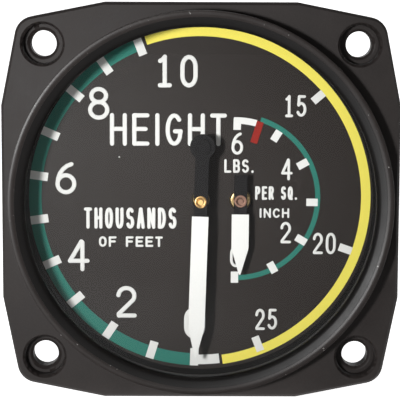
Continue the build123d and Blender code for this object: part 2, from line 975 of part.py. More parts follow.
def pointer_blade(half_outline):
    right = [(half, -down) for half, down in half_outline]
    left = [(-half, -down) for half, down in reversed(half_outline)]
    return make_face(Polyline(*right, *left, close=True))


# Turns a shape drawn pointing down, so that it points at the train's zero
def aimed(train, outline):
    return Pos(*train["staff"]) * Rot(0, 0, train["pointer_angle"] + 90) * outline


def pointer_front(train):
    return dial_front - train["pointer_height"]


def altitude_pointer():
    front = pointer_front(altitude)
    back = front + pointer_thickness
    hole = Circle(pointer_bush_radius + press_gap)
    blade = pointer_blade(altitude_pointer_outline) + Pos(0, weight_offset) * Circle(weight_radius) - hole
    body = slab(aimed(altitude, blade), front, back)
    weight = Pos(0, weight_offset) * Circle(weight_radius)
    crown = Pos(0, weight_offset) * Circle(weight_crown_radius)
    body += slab(aimed(altitude, weight), front, back + weight_drop)
    return body + slab(aimed(altitude, crown), front - weight_crown_rise, front)


def differential_pointer():
    front = pointer_front(differential)
    blade = pointer_blade(differential_pointer_outline) - Circle(pointer_bush_radius + press_gap)
    return slab(aimed(differential, blade), front, front + pointer_thickness)


# The brass bush that grips the staff and carries the pointer on its flange
def pointer_bush(train):
    front = pointer_front(train)
    under = front + pointer_thickness
    bore = staff_tip_radius + press_gap
    mouth = front - pointer_bush_rise
    body = sleeve(pointer_bush_radius, bore, mouth, under, train["staff"])
    body += sleeve(pointer_bush_flange, bore, under, under + pointer_bush_drop, train["staff"])
    return body - disc(pointer_bush_sink, mouth - 1, mouth + pointer_bush_sink_depth, train["staff"])


def save(name, shape):
    export_step(shape, f"parts/{name}.step")


os.makedirs("parts", exist_ok=True)
save("case", case())
save("vent_filter", vent_filter())
save("retaining_ring", retaining_ring())
save("cover_glass", cover_glass())
save("glass_gasket", glass_gasket())
save("dial", dial())
save("dial_feet", dial_feet())
save("dial_nuts", dial_nuts())
save("front_plate", front_plate())
save("rear_plate", rear_plate())
save("plate_pillars", plate_pillars())
save("pillar_screws", pillar_screws())
save("rear_standoffs", rear_standoffs())
save("case_screws", case_screws())
save("pinion_bridge", pinion_bridge())
save("bridge_pillars", bridge_pillars())
save("bridge_screws", bridge_screws())
save("shaft_bushes", shaft_bushes())
save("staff_jewels", staff_jewels())
save("static_tube", static_tube())
save("static_nipple", static_nipple())
save("bracket_screws", bracket_screws())
save("altitude_pointer", altitude_pointer())
save("differential_pointer", differential_pointer())
for train in (altitude, differential):
    name = train["name"]
    save(f"{name}_front_bush", front_bush(train))
    save(f"{name}_staff", staff(train))
    save(f"{name}_pointer_bush", pointer_bush(train))
    save(f"{name}_collet", collet(train))
    save(f"{name}_hairspring", hairspring(train))
    save(f"{name}_hairspring_stud", hairspring_stud(train))
    save(f"{name}_sector", sector(train))
    save(f"{name}_shaft", sector_shaft(train))
    save(f"{name}_arm", arm(train))
    save(f"{name}_link", link(train))
    save(f"{name}_capsule", capsule(train))
    save(f"{name}_capsule_stud", capsule_stud(train))
    save(f"{name}_capsule_base", capsule_base(train))
    save(f"{name}_capsule_nut", capsule_nut(train))
    save(f"{name}_capsule_bracket", capsule_bracket(train))
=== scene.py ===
import json
import math

import bpy
from mathutils import Matrix, Vector

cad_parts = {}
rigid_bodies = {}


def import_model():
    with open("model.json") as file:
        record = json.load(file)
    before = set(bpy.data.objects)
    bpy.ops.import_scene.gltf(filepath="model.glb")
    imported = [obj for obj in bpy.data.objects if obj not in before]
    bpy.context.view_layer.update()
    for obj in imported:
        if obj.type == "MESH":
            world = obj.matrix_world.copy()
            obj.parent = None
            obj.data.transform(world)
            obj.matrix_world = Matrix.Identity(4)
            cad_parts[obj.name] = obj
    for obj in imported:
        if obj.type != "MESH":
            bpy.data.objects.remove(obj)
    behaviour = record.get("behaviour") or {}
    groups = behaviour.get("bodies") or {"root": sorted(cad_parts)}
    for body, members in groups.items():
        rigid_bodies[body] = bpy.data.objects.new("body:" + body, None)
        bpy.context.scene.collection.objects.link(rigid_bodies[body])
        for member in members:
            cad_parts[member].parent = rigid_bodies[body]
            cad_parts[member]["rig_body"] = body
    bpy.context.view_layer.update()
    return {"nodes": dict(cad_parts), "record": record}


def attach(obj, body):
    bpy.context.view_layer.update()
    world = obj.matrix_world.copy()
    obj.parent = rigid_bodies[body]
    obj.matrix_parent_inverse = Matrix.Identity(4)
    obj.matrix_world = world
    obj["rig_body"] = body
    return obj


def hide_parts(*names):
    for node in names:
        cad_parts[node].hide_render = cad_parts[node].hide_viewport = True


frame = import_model()
nodes = frame["nodes"]
bodyOf = {name: obj["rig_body"] for name, obj in nodes.items()}
slotOf = {row["node"]: row["material_slot"] for row in frame["record"]["subparts"]}
print("frame loaded:", len(nodes), "nodes")

mm = 0.001


# small helpers for the modes and the selection
def clearSelection():
    if bpy.context.mode != "OBJECT":
        bpy.ops.object.mode_set(mode="OBJECT")
    bpy.ops.object.select_all(action="DESELECT")


def pick(piece):
    clearSelection()
    piece.select_set(True)
    bpy.context.view_layer.objects.active = piece


def newest(name):
    piece = bpy.context.active_object
    piece.name = name
    piece.data.name = name
    return piece


def settle(piece):
    pick(piece)  # the place and size go into the mesh
    bpy.ops.object.transform_apply(location=True, rotation=True, scale=True)


def editAll():
    bpy.ops.object.mode_set(mode="EDIT")
    bpy.ops.mesh.select_all(action="SELECT")


def leaveEdit():
    bpy.ops.object.mode_set(mode="OBJECT")


# selects the active piece's corners ("VERT") or edges ("EDGE") by their place, and stays in edit mode
def choose(piece, kind, wanted):
    bpy.ops.object.mode_set(mode="EDIT")
    bpy.ops.mesh.select_mode(type=kind)
    bpy.ops.mesh.select_all(action="DESELECT")
    bpy.ops.object.mode_set(mode="OBJECT")
    points = piece.data.vertices
    if kind == "VERT":
        for point in points:
            point.select = wanted(point.co)
    else:
        for edge in piece.data.edges:
            edge.select = all(wanted(points[i].co) for i in edge.vertices)
    bpy.ops.object.mode_set(mode="EDIT")


doubles = {"own": 1e-7, "cad": 1e-6}  # corners nearer than this are one, in m


def tidyShell(piece):
    pick(piece)
    editAll()
    bpy.ops.mesh.remove_doubles(threshold=doubles["own"])
    bpy.ops.mesh.normals_make_consistent(inside=False)
    leaveEdit()


def joined(pieces, name):
    clearSelection()
    for piece in pieces:
        piece.select_set(True)
    bpy.context.view_layer.objects.active = pieces[0]
    bpy.ops.object.join()
    return newest(name)


# a turned piece starts as its section: a plane between two radii, from front to back along Y
def section(name, inner, outer, front, back):
    clearSelection()
    bpy.ops.mesh.primitive_plane_add(size=1.0)
    piece = newest(name)
    piece.scale = (outer - inner, back - front, 1)
    piece.location = ((inner + outer) / 2, (front + back) / 2, 0)
    settle(piece)
    return piece


def spun(piece, centre, degrees, steps):
    editAll()
    bpy.ops.mesh.spin(
        steps=steps, angle=math.radians(degrees), center=centre, axis=(0, 1, 0), use_auto_merge=False
    )
    leaveEdit()
    tidyShell(piece)


# shader groups that several finishes share
def newGroup(name, inputs, outputs):
    tree = bpy.data.node_groups.new(name, "ShaderNodeTree")
    for label, kind, value in inputs:
        socket = tree.interface.new_socket(label, in_out="INPUT", socket_type=kind)
        if value is not None:
            socket.default_value = value
    for label, kind in outputs:
        tree.interface.new_socket(label, in_out="OUTPUT", socket_type=kind)
    return tree, tree.nodes.new("NodeGroupInput"), tree.nodes.new("NodeGroupOutput")


# a number goes into the socket, and another node's output is linked to it
def feed(tree, socket, value):
    if isinstance(value, (int, float)):
        socket.default_value = value
    else:
        tree.links.new(value, socket)


def maths(tree, operation, a, b):
    node = tree.nodes.new("ShaderNodeMath")
    node.operation = operation
    feed(tree, node.inputs[0], a)
    feed(tree, node.inputs[1], b)
    return node.outputs[0]


def noise(tree, vector, scale, detail=3.0):
    node = tree.nodes.new("ShaderNodeTexNoise")
    feed(tree, node.inputs["Detail"], detail)
    feed(tree, node.inputs["Vector"], vector)
    feed(tree, node.inputs["Scale"], scale)
    return node.outputs["Fac"]


def scaledColour(tree, colour, factor):
    node = tree.nodes.new("ShaderNodeVectorMath")
    node.operation = "SCALE"
    tree.links.new(colour, node.inputs[0])
    tree.links.new(factor, node.inputs["Scale"])
    return node.outputs["Vector"]


def mixedColour(tree, factor, a, b):
    node = tree.nodes.new("ShaderNodeMix")
    node.data_type = "RGBA"
    tree.links.new(factor, node.inputs["Factor"])
    for label, colour in (("A", a), ("B", b)):
        if isinstance(colour, tuple):
            node.inputs[label].default_value = (*colour, 1)
        else:
            tree.links.new(colour, node.inputs[label])
    return node.outputs["Result"]


noiseShape = {
    "middle": 0.5,  # the noise's mean
    "broad": 0.06,  # the broad noise's scale, as a share of the fine one's
    "squeeze": (1.0, 1.0, 0.03),  # draws the noise out along Z
    "streakDetail": 2.0,
}


# grain: a fine and a broad noise that vary colour and roughness, with a height for a bump
def grainGroup():
    tree, give, take = newGroup(
        "surfaceGrain",
        [
            ("Vector", "NodeSocketVector", None),
            ("Colour", "NodeSocketColor", (0.5, 0.5, 0.5, 1)),
            ("Colour Change", "NodeSocketFloat", 0.1),
            ("Scale", "NodeSocketFloat", 2000.0),
            ("Roughness", "NodeSocketFloat", 0.5),
            ("Roughness Change", "NodeSocketFloat", 0.1),
        ],
        [("Colour", "NodeSocketColor"), ("Roughness", "NodeSocketFloat"), ("Height", "NodeSocketFloat")],
    )
    fine = noise(tree, give.outputs["Vector"], give.outputs["Scale"])
    broadScale = maths(tree, "MULTIPLY", give.outputs["Scale"], noiseShape["broad"])
    broad = noise(tree, give.outputs["Vector"], broadScale)
    spread = maths(tree, "SUBTRACT", maths(tree, "ADD", fine, broad), 2 * noiseShape["middle"])
    change = maths(tree, "ADD", maths(tree, "MULTIPLY", spread, give.outputs["Colour Change"]), 1.0)
    rough = maths(tree, "MULTIPLY", spread, give.outputs["Roughness Change"])
    tree.links.new(scaledColour(tree, give.outputs["Colour"], change), take.inputs["Colour"])
    tree.links.new(maths(tree, "ADD", rough, give.outputs["Roughness"]), take.inputs["Roughness"])
    tree.links.new(fine, take.inputs["Height"])
    return tree


# tool marks: long thin streaks along Z, as brushing or drawing leaves
def streakGroup():
    tree, give, take = newGroup(
        "toolStreaks",
        [
            ("Vector", "NodeSocketVector", None),
            ("Scale", "NodeSocketFloat", 3000.0),
            ("Depth", "NodeSocketFloat", 0.2),
        ],
        [("Change", "NodeSocketFloat"), ("Height", "NodeSocketFloat")],
    )
    squeeze = tree.nodes.new("ShaderNodeVectorMath")
    squeeze.operation = "MULTIPLY"
    squeeze.inputs[1].default_value = noiseShape["squeeze"]
    tree.links.new(give.outputs["Vector"], squeeze.inputs[0])
    lines = noise(tree, squeeze.outputs["Vector"], give.outputs["Scale"], noiseShape["streakDetail"])
    centred = maths(tree, "SUBTRACT", lines, noiseShape["middle"])
    tree.links.new(maths(tree, "MULTIPLY", centred, give.outputs["Depth"]), take.inputs["Change"])
    tree.links.new(lines, take.inputs["Height"])
    return tree


groups = {"grain": grainGroup(), "streaks": streakGroup()}
print("shader groups made")


def placeGroup(tree, name, vector, values):
    node = tree.nodes.new("ShaderNodeGroup")
    node.node_tree = groups[name]
    tree.links.new(vector, node.inputs["Vector"])
    for label, value in values.items():
        node.inputs[label].default_value = value
    return node


def startMaterial(name, metallic, specular):
    material = bpy.data.materials.new(name)
    material.use_nodes = True
    tree = material.node_tree
    shader = tree.nodes["Principled BSDF"]
    shader.inputs["Metallic"].default_value = metallic
    shader.inputs["Specular IOR Level"].default_value = specular
    place = tree.nodes.new("ShaderNodeTexCoord")
    return material, tree, shader, place.outputs["Object"]


# the grain, wired to the shader's colour and roughness
def addGrain(tree, shader, place, look):
    values = {
        "Colour Change": look["change"], "Scale": look["scale"],
        "Roughness": look["roughness"], "Roughness Change": look["roughChange"],
    }
    if "colour" in look:
        values["Colour"] = (*look["colour"], 1)
    grain = placeGroup(tree, "grain", place, values)
    tree.links.new(grain.outputs["Colour"], shader.inputs["Base Color"])
    tree.links.new(grain.outputs["Roughness"], shader.inputs["Roughness"])
    return grain


def addBump(tree, shader, height, look):
    bump = tree.nodes.new("ShaderNodeBump")
    bump.inputs["Strength"].default_value = look["bump"]
    bump.inputs["Distance"].default_value = look["depth"]
    tree.links.new(height, bump.inputs["Height"])
    tree.links.new(bump.outputs["Normal"], shader.inputs["Normal"])


# what a finish has where its own row says nothing
plainFinish = {"metallic": 0.0, "specular": 0.5, "change": 0.1, "roughChange": 0.1, "depth": 0.05 * mm}
inkFinish = {"roughness": 0.55, "specular": 0.15, "scale": 4000, "bump": 0.05, "depth": 0.01 * mm}
metalFinish = {
    "change": 0.12, "scale": 900, "roughChange": 0.12, "streakScale": 6000, "streakDepth": 0.25,
    "bump": 0.15, "depth": 0.02 * mm,
}
finishes = {
    "case": {
        "colour": (0.0255, 0.0208, 0.0195), "roughness": 0.54, "specular": 0.24, "change": 0.5,
        "scale": 4500, "bump": 0.25, "depth": 0.04 * mm,
    },
    # painted shade: the case's wall inside the window gets a darker copy of the case finish, without its
    # sheen
    "bore": {
        "colour": (0.008, 0.0075, 0.0075), "roughness": 0.9, "specular": 0.0, "scale": 4500, "bump": 0.3,
    },
    "ring": {
        "colour": (0.006, 0.0052, 0.005), "roughness": 0.44, "specular": 0.26, "change": 0.15,
        "scale": 5000, "bump": 0.08,
    },
    "rubber": {"colour": (0.02, 0.02, 0.02), "roughness": 0.75, "scale": 3000, "bump": 0.2},
    "dial": {
        "colour": (0.0125, 0.0074, 0.005), "roughness": 0.45, "specular": 0.2, "change": 0.14,
        "scale": 3500, "bump": 0.06, "depth": 0.02 * mm,
    },
    "black_screw": {
        "colour": (0.05, 0.05, 0.052), "metallic": 0.6, "roughness": 0.42, "scale": 2500, "bump": 0.1,
    },
    "spring_bronze": {
        "colour": (0.72, 0.5, 0.3), "metallic": 1.0, "roughness": 0.3, "scale": 1500, "bump": 0.05,
    },
    "bronze": {
        "colour": (0.42, 0.31, 0.17), "metallic": 0.8, "roughness": 0.6, "change": 0.6,
        "scale": 6000, "bump": 0.8, "depth": 0.1 * mm,
    },
    "white print": {**inkFinish, "colour": (0.84, 0.84, 0.81), "change": 0.04},
    "yellow print": {**inkFinish, "colour": (0.96, 0.84, 0.125), "change": 0.06},
    "green print": {**inkFinish, "colour": (0.02, 0.19, 0.145)},
    "red print": {**inkFinish, "colour": (0.3, 0.012, 0.005)},
}
# the rim's lip is rubbed glossier than the rest of the case, with a few worn specks
finishes["lip"] = {
    **finishes["case"], "roughness": 0.36,
    "specks": {"colour": (0.3, 0.29, 0.28), "scale": 1600.0, "above": 0.72},
}
metals = {
    "brass": {"colour": (0.78, 0.57, 0.27), "roughness": 0.28},
    "plate": {"colour": (0.76, 0.62, 0.36), "roughness": 0.34, "streakScale": 4000},
    "steel": {"colour": (0.58, 0.58, 0.6), "roughness": 0.27},
    "copper": {"colour": (0.75, 0.4, 0.26), "roughness": 0.3, "streakScale": 3500},
    "dark brass": {"colour": (0.34, 0.21, 0.085), "roughness": 0.4},
    "bright brass": {"colour": (0.62, 0.42, 0.17), "roughness": 0.36},
    "brown brass": {"colour": (0.2, 0.115, 0.085), "roughness": 0.45},
}
glassFinish = {"change": 0.01, "scale": 300.0, "roughChange": 0.008}
glasses = {
    "glass": {"colour": (0.99, 1.0, 0.995), "ior": 1.5, "roughness": 0.01, "specular": 0.1},
    "jewel": {"colour": (0.75, 0.05, 0.14), "ior": 1.76, "roughness": 0.03, "specular": 0.5},
}


def grainMaterial(name, row):
    look = {**plainFinish, **row}
    material, tree, shader, place = startMaterial(name, look["metallic"], look["specular"])
    grain = addGrain(tree, shader, place, look)
    if "specks" in look:
        specks = look["specks"]
        worn = maths(tree, "GREATER_THAN", noise(tree, place, specks["scale"]), specks["above"])
        colour = mixedColour(tree, worn, grain.outputs["Colour"], specks["colour"])
        tree.links.new(colour, shader.inputs["Base Color"])
    addBump(tree, shader, grain.outputs["Height"], look)
    return material


def streakMaterial(name, row):
    look = {**metalFinish, **row}
    material, tree, shader, place = startMaterial(name, 1.0, 0.5)
    grain = addGrain(tree, shader, place, look)
    streaks = placeGroup(tree, "streaks", place, {"Scale": look["streakScale"], "Depth": look["streakDepth"]})
    rough = maths(tree, "ADD", grain.outputs["Roughness"], streaks.outputs["Change"])
    tree.links.new(rough, shader.inputs["Roughness"])
    addBump(tree, shader, streaks.outputs["Height"], look)
    return material


# glass is clear to the light on its way to and from what it covers
def glassMaterial(name, row):
    look = {**glassFinish, **row}
    material, tree, shader, place = startMaterial(name, 0.0, look["specular"])
    shader.inputs["Transmission Weight"].default_value = 1.0
    shader.inputs["IOR"].default_value = look["ior"]
    addGrain(tree, shader, place, look)
    clear = tree.nodes.new("ShaderNodeBsdfTransparent")
    path = tree.nodes.new("ShaderNodeLightPath")
    mix = tree.nodes.new("ShaderNodeMixShader")
    lit = maths(tree, "MAXIMUM", path.outputs["Is Shadow Ray"], path.outputs["Is Diffuse Ray"])
    lit = maths(tree, "MAXIMUM", lit, path.outputs["Is Glossy Ray"])
    tree.links.new(lit, mix.inputs["Fac"])
    tree.links.new(shader.outputs["BSDF"], mix.inputs[1])
    tree.links.new(clear.outputs["BSDF"], mix.inputs[2])
    tree.links.new(mix.outputs["Shader"], tree.nodes["Material Output"].inputs["Surface"])
    return material


materials = {name: grainMaterial(name, row) for name, row in finishes.items()}
materials.update({name: streakMaterial(name, row) for name, row in metals.items()})
materials.update({name: glassMaterial(name, row) for name, row in glasses.items()})

pointerPaint = {
    "black": (0.0045, 0.0038, 0.0042), "white": (0.86, 0.86, 0.83), "specular": 0.12, "change": 0.06,
    "scale": 4000, "roughness": 0.55, "roughChange": 0.1, "bump": 0.1, "depth": 0.01 * mm,
}
# where each pointer turns, the angle that it rests at, anticlockwise from the right, and where white starts
pointers = {
    "altitude_pointer": {"pivot": (0, 0, 0), "pointsAt": -91.8, "whiteFrom": 2.2 * mm},
    "differential_pointer": {"pivot": (6 * mm, 0, 0), "pointsAt": -90.4, "whiteFrom": 2.0 * mm},
}


# pointer paint: black round the pivot, white on the blade, by distance along the blade
def pointerMaterial(name, pointer):
    material, tree, shader, place = startMaterial(name, 0.0, pointerPaint["specular"])
    centre = tree.nodes.new("ShaderNodeVectorMath")
    centre.operation = "SUBTRACT"
    centre.inputs[1].default_value = pointer["pivot"]
    tree.links.new(place, centre.inputs[0])
    along = tree.nodes.new("ShaderNodeVectorMath")
    along.operation = "DOT_PRODUCT"
    angle = math.radians(pointer["pointsAt"])
    along.inputs[1].default_value = (math.cos(angle), 0.0, math.sin(angle))
    tree.links.new(centre.outputs["Vector"], along.inputs[0])
    white = maths(tree, "GREATER_THAN", along.outputs["Value"], pointer["whiteFrom"])
    grain = addGrain(tree, shader, place, pointerPaint)
    colour = mixedColour(tree, white, pointerPaint["black"], pointerPaint["white"])
    tree.links.new(colour, grain.inputs["Colour"])
    addBump(tree, shader, grain.outputs["Height"], pointerPaint)
    return material


# pieces round the pivots that get darker or brighter brass than the plain brass
ownFinish = {
    "altitude_pointer_bush": "dark brass", "altitude_staff": "bright brass",
    "differential_pointer_bush": "brown brass", "differential_staff": "brown brass",
}
for name, obj in nodes.items():
    obj.data.materials.clear()
    if name in pointers:
        obj.data.materials.append(pointerMaterial(name + " paint", pointers[name]))
    else:
        obj.data.materials.append(materials[ownFinish.get(name, slotOf[name])])
print("materials made:", len(materials) + len(pointers))

# printed marks on the dial, seen from the front: u to the right, v up, both in mm from the dial's centre
inkDepth = {"face": 0.42 * mm, "band": 0.05 * mm, "block": 0.075 * mm, "tick": 0.08 * mm, "sink": 0.01 * mm}
# the whole print is this much smaller than drawn, and lies this far beside and above the dial's centre
printFit = {"size": 0.991, "side": -0.03 * mm, "up": 0.3 * mm}


def dialPoint(u, v, lift=0.0):
    return Vector((u * mm, inkDepth["face"] - lift, v * mm))


def placePrint(piece, material):
    piece.scale = (printFit["size"], 1, printFit["size"])
    piece.location = (printFit["side"], 0, printFit["up"])
    settle(piece)
    piece.data.materials.clear()
    piece.data.materials.append(materials[material])
    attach(piece, "housing")


bandSteps = {"fewest": 6, "degrees": 2}


# an arc band: a small strip, spun round its scale's centre; angles are clockwise from the top
def band(name, centre, inner, outer, start, end, thick=inkDepth["band"]):
    half = (thick + inkDepth["sink"]) / 2
    piece = section(name, inner * mm, outer * mm, -half, half)
    piece.rotation_euler = (0, math.radians(start - 90), 0)
    piece.location = dialPoint(*centre, (thick - inkDepth["sink"]) / 2)
    settle(piece)
    steps = max(bandSteps["fewest"], int((end - start) / bandSteps["degrees"]))
    spun(piece, dialPoint(*centre), start - end, steps)
    return piece


tickEdge = {"width": 0.02 * mm, "segments": 2}


# a tick: a thin bar from inner to outer radius, with its printed edges eased
def tick(name, centre, angle, inner, outer, width):
    clearSelection()
    bpy.ops.mesh.primitive_cube_add(size=1.0)
    piece = newest(name)
    piece.scale = (width * mm, inkDepth["tick"] + inkDepth["sink"], (outer - inner) * mm)
    piece.location = (0, 0, (inner + outer) / 2 * mm)
    settle(piece)
    editAll()
    bpy.ops.mesh.bevel(offset=tickEdge["width"], segments=tickEdge["segments"], affect="EDGES")
    leaveEdit()
    piece.rotation_euler = (0, math.radians(angle), 0)
    piece.location = dialPoint(*centre, (inkDepth["tick"] - inkDepth["sink"]) / 2)
    settle(piece)
    return piece


# a band or block is (inner, outer, start, end), and a tick (inner, outer, width) at an angle for each number
largeScale = {
    "centre": (-0.1, 0.0),
    "yellow": (24.65, 26.1, -19.0, 172.0),
    "green": (24.2, 26.1, 181.8, 338.35),
    "whole": {
        0: 181.8, 1: 197.2, 2: 213.8, 3: 230.3, 4: 246.15, 5: 262.2, 6: 277.75, 7: 293.3, 8: 310.0,
        9: 324.3, 10: 338.35,
    },
    "wholeTick": (23.4, 26.12, 1.3),
    "far": {15: 49.2, 20: 109.3},
    "farTick": (22.65, 24.7, 1.2),
    "last": (158.3, 23.2, 25.6, 1.2),
    "zeroBlock": (24.4, 25.9, 173.0, 181.0),
}
smallScale = {
    "centre": (5.26, -0.46),
    "bandCentre": (5.48, 0.12),
    "green": (12.05, 12.82, 17.0, 178.5),
    "topBlock": (11.86, 12.85, -1.0, 15.0),
    "ticks": {0: 180.0, 1: 150.5, 2: 120.4, 3: 90.8, 4: 61.0, 5: 32.0, 6: 1.4},
    "tick": (10.92, 12.67, 1.15),
    "red": (17.4, 9.35, 12.75, 1.08),
}
large, small = largeScale["centre"], smallScale["centre"]
placePrint(band("yellowBand", large, *largeScale["yellow"]), "yellow print")
placePrint(band("greenBand", large, *largeScale["green"]), "green print")
placePrint(band("smallGreenBand", smallScale["bandCentre"], *smallScale["green"]), "green print")
bars = [tick(f"bar{n}", large, a, *largeScale["wholeTick"]) for n, a in largeScale["whole"].items()]
bars += [tick(f"bar{n}", large, a, *largeScale["farTick"]) for n, a in largeScale["far"].items()]
bars += [tick("barLast", large, *largeScale["last"])]
bars += [tick(f"smallBar{n}", small, a, *smallScale["tick"]) for n, a in smallScale["ticks"].items()]
bars += [band("zeroBlock", large, *largeScale["zeroBlock"], inkDepth["block"])]
bars += [band("topBlock", small, *smallScale["topBlock"], inkDepth["block"])]
placePrint(joined(bars, "whiteTicks"), "white print")
placePrint(tick("redLine", small, *smallScale["red"]), "red print")
print("bands and ticks printed")

# stroke letters on a unit square: points, or (cu, cv, ru, rv, from, to) arcs in degrees anticlockwise
letters = {
    "0": [[(0.5, 0.66, 0.5, 0.34, 0, 180), (0.5, 0.34, 0.5, 0.34, 180, 360), "close"]],
    "1": [[(0.02, 0.86), (0.25, 0.9), (0.5, 1.0), (0.5, 0.0)], [(0.0, 0.0), (1.0, 0.0)]],
    "2": [[(0.5, 0.72, 0.5, 0.28, 175, -32), (0.02, 0.06), (0.03, 0.0), (1.0, 0.0)]],
    "4": [[(0.72, 0.0), (0.72, 0.97), (0.66, 1.0), (0.0, 0.3), (1.0, 0.3)]],
    "5": [[(0.9, 1.0), (0.16, 1.0), (0.08, 0.56), (0.46, 0.34, 0.54, 0.31, 110, -150)]],
    "6": [[(1.02, 0.3, 1.02, 0.7, 101, 180), (0.5, 0.3, 0.5, 0.3, 180, 540)]],
    "8": [[(0.5, 0.77, 0.43, 0.23, 270, 630)], [(0.5, 0.275, 0.5, 0.275, 90, 450)]],
    "A": [[(0, 0), (0.46, 1), (0.54, 1), (1, 0)], [(0.16, 0.3), (0.84, 0.3)]],
    "B": [
        [(0, 0), (0, 1), (0.62, 1), (0.62, 0.76, 0.33, 0.24, 90, -90), (0, 0.52)],
        [(0, 0), (0.66, 0), (0.66, 0.26, 0.34, 0.26, -90, 90)],
    ],
    "C": [[(0.52, 0.5, 0.52, 0.5, 42, 318)]],
    "D": [[(0, 0), (0, 1), (0.35, 1), (0.35, 0.5, 0.65, 0.5, 90, -90), (0, 0)]],
    "E": [[(1, 0), (0, 0), (0, 1), (1, 1)], [(0, 0.52), (0.86, 0.52)]],
    "F": [[(0, 0), (0, 1), (1, 1)], [(0, 0.52), (0.86, 0.52)]],
    "G": [[(0.52, 0.5, 0.52, 0.5, 45, 325), (1, 0.44), (0.58, 0.44)]],
    "H": [[(0, 0), (0, 1)], [(1, 0), (1, 1)], [(0, 0.52), (1, 0.52)]],
    "I": [[(0.5, 0), (0.5, 1)]],
    "L": [[(0, 1), (0, 0), (1, 0)]],
    "N": [[(0, 0), (0, 1), (1, 0), (1, 1)]],
    "O": [[(0.5, 0.6, 0.5, 0.4, 0, 180), (0.5, 0.4, 0.5, 0.4, 180, 360), "close"]],
    "P": [[(0, 0), (0, 1), (0.6, 1), (0.6, 0.74, 0.4, 0.26, 90, -90), (0, 0.48)]],
    "Q": [
        [(0.5, 0.6, 0.5, 0.4, 0, 180), (0.5, 0.4, 0.5, 0.4, 180, 360), "close"],
        [(0.6, 0.26), (1.0, -0.02)],
    ],
    "R": [[(0, 0), (0, 1), (0.6, 1), (0.6, 0.75, 0.4, 0.25, 90, -90), (0, 0.5)], [(0.55, 0.5), (1, 0)]],
    "S": [[(0.5, 0.755, 0.47, 0.245, 35, 250), (0.5, 0.265, 0.5, 0.265, 75, -155)]],
    "T": [[(0, 1), (1, 1)], [(0.5, 1), (0.5, 0)]],
    "U": [[(0, 1), (0, 0.36), (0.5, 0.36, 0.5, 0.36, 180, 360), (1, 1)]],
    ".": [[(0.5, 0.0), (0.5, 0.02)]],
}
narrow = {"I": 0.12, "1": 0.72, ".": 0.25, "T": 0.95, " ": 0.55}  # widths beside the other letters' 1
penLine = {
    "sharpest": 50.0,  # the pen is lifted where a stroke turns by more degrees than this
    "arcStep": 15,  # degrees between an arc's points
    "fewest": 4,  # steps in an arc
    "nearest": 0.02,  # mm between two points
    "cap": (0.45, 0.85, 1.2, 1.45),  # radians round the line's end at which the pen is narrowed
    "round": 2,  # how finely the pen's section is rounded
    "gap": 0.8,  # pen widths between letters where a word gives no gap
    "flat": 0.05,  # mm that the pen line is pressed down to
    "lift": 0.2,  # share of that by which it stands proud
}


# both strokes keep their full width at a sharp corner
def brokenAtCorners(line):
    strokes, start = [], 0
    for i in range(1, len(line) - 1):
        before, after = Vector(line[i]) - Vector(line[i - 1]), Vector(line[i + 1]) - Vector(line[i])
        if before.angle(after) > math.radians(penLine["sharpest"]):
            strokes.append(line[start:i + 1])
            start = i
    return strokes + [line[start:]]


def strokeLine(parts, left, low, wide, high):
    line, close = [], False
    for part in parts:
        if part == "close":
            close = True
        elif len(part) == 2:
            line.append(part)
        else:
            cu, cv, ru, rv, a, b = part
            count = max(penLine["fewest"], int(abs(b - a) / penLine["arcStep"]))
            for i in range(count + 1):
                t = math.radians(a + (b - a) * i / count)
                line.append((cu + ru * math.cos(t), cv + rv * math.sin(t)))
    line = [(left + u * wide, low + v * high) for u, v in line]
    kept = [line[0]]
    for point in line[1:]:
        if math.dist(point, kept[-1]) > penLine["nearest"]:
            kept.append(point)
    if close and math.dist(kept[0], kept[-1]) < penLine["nearest"]:
        kept.pop()
    return [(kept, True)] if close else [(stroke, False) for stroke in brokenAtCorners(kept)]


# a stroke's end is rounded by narrowing the pen over the last half width
def strokeCap(end, before, pen):
    away = (Vector(end) - Vector(before)).normalized() * pen / 2
    return [(tuple(Vector(end) + away * math.sin(t)), math.cos(t)) for t in penLine["cap"]]


def addStroke(curve, line, close, pen):
    points = [(p, 1.0) for p in line]
    if not close:
        points = strokeCap(line[0], line[1], pen)[::-1] + points + strokeCap(line[-1], line[-2], pen)
    spline = curve.splines.new("POLY")
    spline.points.add(len(points) - 1)
    for knot, ((u, v), radius) in zip(spline.points, points):
        knot.co = (u * mm, v * mm, 0, 1)
        knot.radius = radius
    spline.use_cyclic_u = close


def lettering(name, text, middle, size, pen, gap=None):
    curve = bpy.data.curves.new(name, "CURVE")
    curve.dimensions = "3D"
    curve.bevel_depth = pen / 2 * mm
    curve.bevel_resolution = penLine["round"]
    curve.use_fill_caps = True
    width, height = size
    gap = gap if gap is not None else pen * penLine["gap"]
    shares = [narrow.get(c, 1.0) for c in text]
    unit = (width - gap * (len(text) - 1) - pen * len(text)) / sum(shares)
    left = middle[0] - width / 2
    low = middle[1] - height / 2 + pen / 2
    for c, share in zip(text, shares):
        for parts in letters.get(c, []):
            for line, close in strokeLine(parts, left + pen / 2, low, unit * share, height - pen):
                addStroke(curve, line, close, pen)
        left += unit * share + pen + gap
    piece = bpy.data.objects.new(name, curve)
    bpy.context.scene.collection.objects.link(piece)
    pick(piece)
    bpy.ops.object.convert(target="MESH")
    piece = newest(name)
    tidyShell(piece)
    piece.scale = (1, 1, penLine["flat"] / pen)
    settle(piece)
    piece.rotation_euler = (math.radians(90), 0, 0)
    piece.location = dialPoint(0, 0, penLine["lift"] * penLine["flat"] * mm)
    settle(piece)
    return piece


